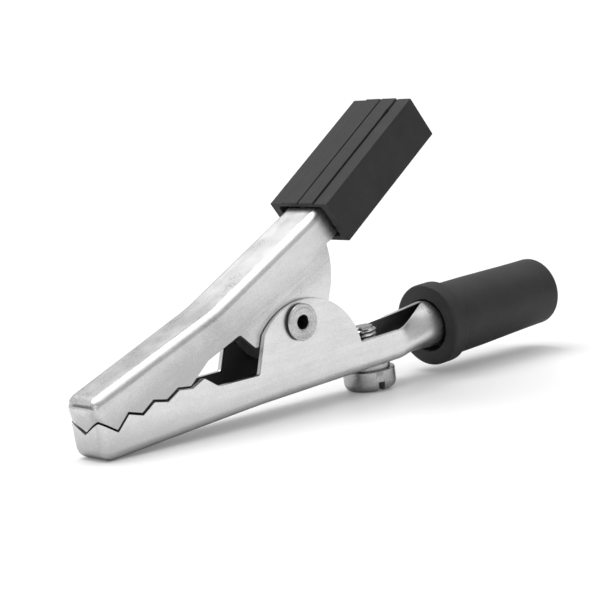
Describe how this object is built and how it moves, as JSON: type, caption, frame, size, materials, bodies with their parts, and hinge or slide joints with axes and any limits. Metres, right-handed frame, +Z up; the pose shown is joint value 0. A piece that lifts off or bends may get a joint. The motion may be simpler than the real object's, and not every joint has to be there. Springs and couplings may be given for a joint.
{
  "type": "alligator clip",
  "caption": "Toothed spring clip of plated sheet steel, with a thumb grip, a screw terminal, and a plug socket in an insulating boot.",
  "frame": {"origin": "under the middle of the clip's box, on the surface that the tip of the lower jaw and the screw's head rest on", "axes": "+X from the tip of the jaws to the plug socket, +Y along the rivet, away from its head, +Z up"},
  "size_m": [0.0724, 0.01, 0.0338],
  "materials": {
    "jaw_steel": "bright nickel plate over pressed sheet, satin",
    "fastener_steel": "nickel plate, lightly worn",
    "spring_steel": "drawn spring wire",
    "grip_plastic": "matte moulded plastic",
    "boot_rubber": "matte soft vinyl"
  },
  "bodies": {
    "lower_jaw": {"lower_jaw": "jaw_steel", "pivot_rivet": "fastener_steel", "torsion_spring": "spring_steel", "barrel_boot": "boot_rubber"},
    "upper_jaw": {"upper_jaw": "jaw_steel", "thumb_grip": "grip_plastic"},
    "terminal_washer": {"terminal_washer": "fastener_steel"},
    "terminal_screw": {"terminal_screw": "fastener_steel"}
  },
  "joints": [
    {"name": "jaw_pivot", "type": "hinge", "parent": "lower_jaw", "child": "upper_jaw", "pos_m": [-0.00755, 0, 0.01049], "axis": [0, 1, 0], "range_deg": [0, 28], "stiffness_Nm_per_rad": 0.25, "springref_deg": -34.38, "deforming": ["torsion_spring"]},
    {"name": "washer_slide", "type": "slide", "parent": "lower_jaw", "child": "terminal_washer", "axis": [0.0609, 0, -0.9981], "range_m": [0, 0.002]},
    {"name": "screw_turn", "type": "hinge", "parent": "terminal_washer", "child": "terminal_screw", "pos_m": [0.00571, 0, 0.00328], "axis": [0.0609, 0, -0.9981], "range_deg": [0, 1440]}
  ]
}
